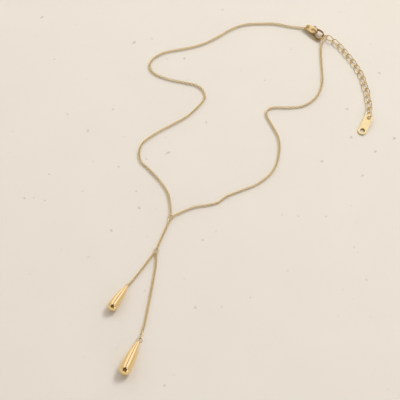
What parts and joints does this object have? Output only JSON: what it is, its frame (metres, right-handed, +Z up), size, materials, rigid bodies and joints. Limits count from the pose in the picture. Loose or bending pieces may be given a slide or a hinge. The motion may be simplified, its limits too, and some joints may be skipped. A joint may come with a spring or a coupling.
{
  "type": "lariat necklace",
  "caption": "Lying lariat necklace: a fine cable chain with a lobster clasp and curb-link extender, and a drop that forks into two chains, each with a long teardrop.",
  "frame": {"origin": "on the table under the middle of the necklace's outline", "axes": "+Y runs from the drops to the clasp, +X to the extender's side, +Z up from the table"},
  "size_m": [0.1362, 0.2142, 0.0061],
  "materials": {
    "chain_gold": "polished pale yellow gold",
    "ring_gold": "polished pale yellow gold",
    "drop_gold": "mirror-polished yellow gold",
    "clasp_gold": "polished pale yellow gold",
    "lever_gold": "polished pale yellow gold"
  },
  "bodies": {
    "necklace": {"chain_left": "chain_gold", "chain_right": "chain_gold", "drop_chain": "chain_gold", "short_drop_chain": "chain_gold", "long_drop_chain": "chain_gold", "y_ring": "ring_gold", "split_ring": "ring_gold", "small_drop_ring": "ring_gold", "large_drop_ring": "ring_gold", "clasp_ring": "ring_gold", "end_ring": "ring_gold", "tag_ring": "ring_gold", "small_drop": "drop_gold", "large_drop": "drop_gold", "clasp_body": "clasp_gold", "tag": "clasp_gold", "extender_link_01": "chain_gold", "extender_link_02": "chain_gold", "extender_link_03": "chain_gold", "extender_link_04": "chain_gold", "extender_link_05": "chain_gold", "extender_link_06": "chain_gold", "extender_link_07": "chain_gold", "extender_link_08": "chain_gold", "extender_link_09": "chain_gold", "extender_link_10": "chain_gold", "extender_link_11": "chain_gold", "extender_link_12": "chain_gold", "extender_link_13": "chain_gold", "extender_link_14": "chain_gold"},
    "lever": {"clasp_lever": "lever_gold"}
  },
  "joints": [
    {"name": "lever_hinge", "type": "hinge", "parent": "necklace", "child": "lever", "pos_m": [0.03952, 0.10081, 0.00191], "axis": [0.2333, 0.2501, -0.9397], "range_deg": [0, 20], "stiffness_Nm_per_rad": 0.0006}
  ]
}
